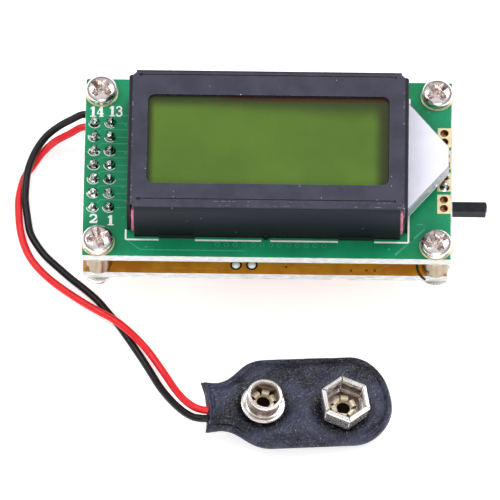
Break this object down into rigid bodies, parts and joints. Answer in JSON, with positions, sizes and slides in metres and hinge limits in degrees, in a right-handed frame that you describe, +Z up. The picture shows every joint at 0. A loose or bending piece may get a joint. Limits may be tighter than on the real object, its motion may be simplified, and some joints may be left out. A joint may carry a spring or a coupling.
{
  "type": "component tester",
  "caption": "Palm-sized bare-board tester: black-framed character display stacked on a measuring board, slide power switch, and two loose leads that end in a 9 V battery snap.",
  "frame": {"origin": "on the bench, under the middle of the board stack and its switch lever, the loose battery lead left out", "axes": "+Z up out of the display face, +X right along the long side towards the switch lever, +Y to the rear edge, away from a person reading the display"},
  "size_m": [0.0749, 0.0595, 0.0256],
  "materials": {
    "green_board": "green solder mask over fibreglass, satin",
    "amber_board": "amber solder mask over fibreglass, satin",
    "black_bezel": "black satin paint on folded sheet steel",
    "display_face": "olive green reflective display film, smooth",
    "display_glass": "clear thin glass",
    "pink_contact_rubber": "pink silicone rubber",
    "white_light_guide": "white frosted acrylic",
    "white_plastic": "white moulded plastic",
    "black_epoxy": "black epoxy, satin",
    "black_plastic": "black moulded plastic",
    "nickel": "bright nickel plate",
    "tin_plate": "dull tin plate",
    "capacitor_sleeve": "dark blue shrink sleeve",
    "ceramic_disc": "orange-brown dipped lacquer",
    "resistor_lacquer": "pale blue lacquer",
    "blue_plastic": "blue moulded plastic",
    "red_wire_sleeve": "red PVC insulation",
    "black_wire_sleeve": "black PVC insulation",
    "black_vinyl": "black grained vinyl",
    "brass_eyelet": "tarnished nickel-brass eyelet"
  },
  "bodies": {
    "tester": {"display_board": "green_board", "measuring_board": "amber_board", "bezel": "black_bezel", "front_polariser": "display_face", "front_glass": "display_glass", "rear_glass": "display_glass", "contact_strip_front": "pink_contact_rubber", "contact_strip_rear": "pink_contact_rubber", "light_guide": "white_light_guide", "backlight_led": "white_plastic", "driver_blob": "black_epoxy", "pin_header": "black_plastic", "top_screw_front_left": "nickel", "bottom_screw_front_left": "nickel", "spacer_front_left": "nickel", "top_screw_front_right": "nickel", "bottom_screw_front_right": "nickel", "spacer_front_right": "nickel", "top_screw_rear_left": "nickel", "bottom_screw_rear_left": "nickel", "spacer_rear_left": "nickel", "top_screw_rear_right": "nickel", "bottom_screw_rear_right": "nickel", "spacer_rear_right": "nickel", "microcontroller_socket": "black_plastic", "microcontroller": "black_epoxy", "crystal": "tin_plate", "voltage_regulator": "black_epoxy", "input_capacitor": "capacitor_sleeve", "output_capacitor": "capacitor_sleeve", "ceramic_capacitor_left": "ceramic_disc", "ceramic_capacitor_right": "ceramic_disc", "resistor_1": "resistor_lacquer", "resistor_2": "resistor_lacquer", "resistor_3": "resistor_lacquer", "test_socket": "black_plastic", "trimmer_body": "blue_plastic", "switch_shell": "tin_plate", "switch_base": "black_plastic", "lead_red": "red_wire_sleeve", "lead_black": "black_wire_sleeve", "snap_cover": "black_vinyl", "snap_stud": "nickel", "snap_socket": "nickel", "stud_eyelet": "brass_eyelet", "socket_eyelet": "brass_eyelet"},
    "switch_lever": {"switch_lever": "black_plastic"},
    "trimmer_rotor": {"trimmer_rotor": "white_plastic"}
  },
  "joints": [
    {"name": "power_switch_slide", "type": "slide", "parent": "tester", "child": "switch_lever", "axis": [0, 1, 0], "range_m": [0, 0.002]},
    {"name": "contrast_trimmer_turn", "type": "hinge", "parent": "tester", "child": "trimmer_rotor", "pos_m": [-0.016, -0.007, 0.005], "axis": [0, 0, 1], "range_deg": [-120, 120]}
  ]
}
